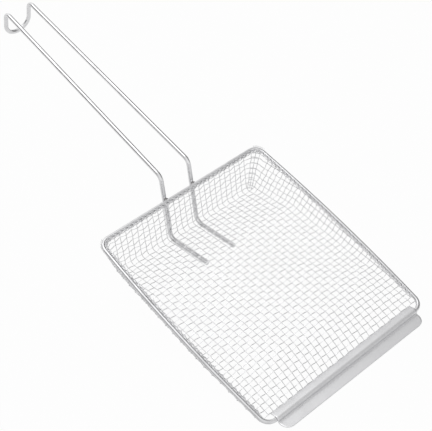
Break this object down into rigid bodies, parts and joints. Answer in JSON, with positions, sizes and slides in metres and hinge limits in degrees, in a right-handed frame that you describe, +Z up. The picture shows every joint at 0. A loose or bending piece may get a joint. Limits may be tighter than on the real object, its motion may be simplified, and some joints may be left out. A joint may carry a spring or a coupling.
{
  "type": "wire mesh skimmer",
  "caption": "Rectangular scoop of woven wire mesh on a wire rim, with a folded sheet lip in front and a long bent wire handle with a hanging loop.",
  "frame": {"origin": "middle of the whole scoop's box, on the table it stands on", "axes": "+X from the hanging loop towards the front lip, +Y across the pan, +Z up"},
  "size_m": [0.5139, 0.2172, 0.1363],
  "materials": {
    "plated_rod": "bright plated steel wire",
    "plated_rim": "bright plated steel wire",
    "mesh_wire": "plated woven steel wire",
    "lip_sheet": "satin plated sheet steel"
  },
  "bodies": {
    "root": {"handle": "plated_rod", "rim_wire": "plated_rim", "mesh_pan": "mesh_wire", "front_lip": "lip_sheet"}
  },
  "joints": []
}
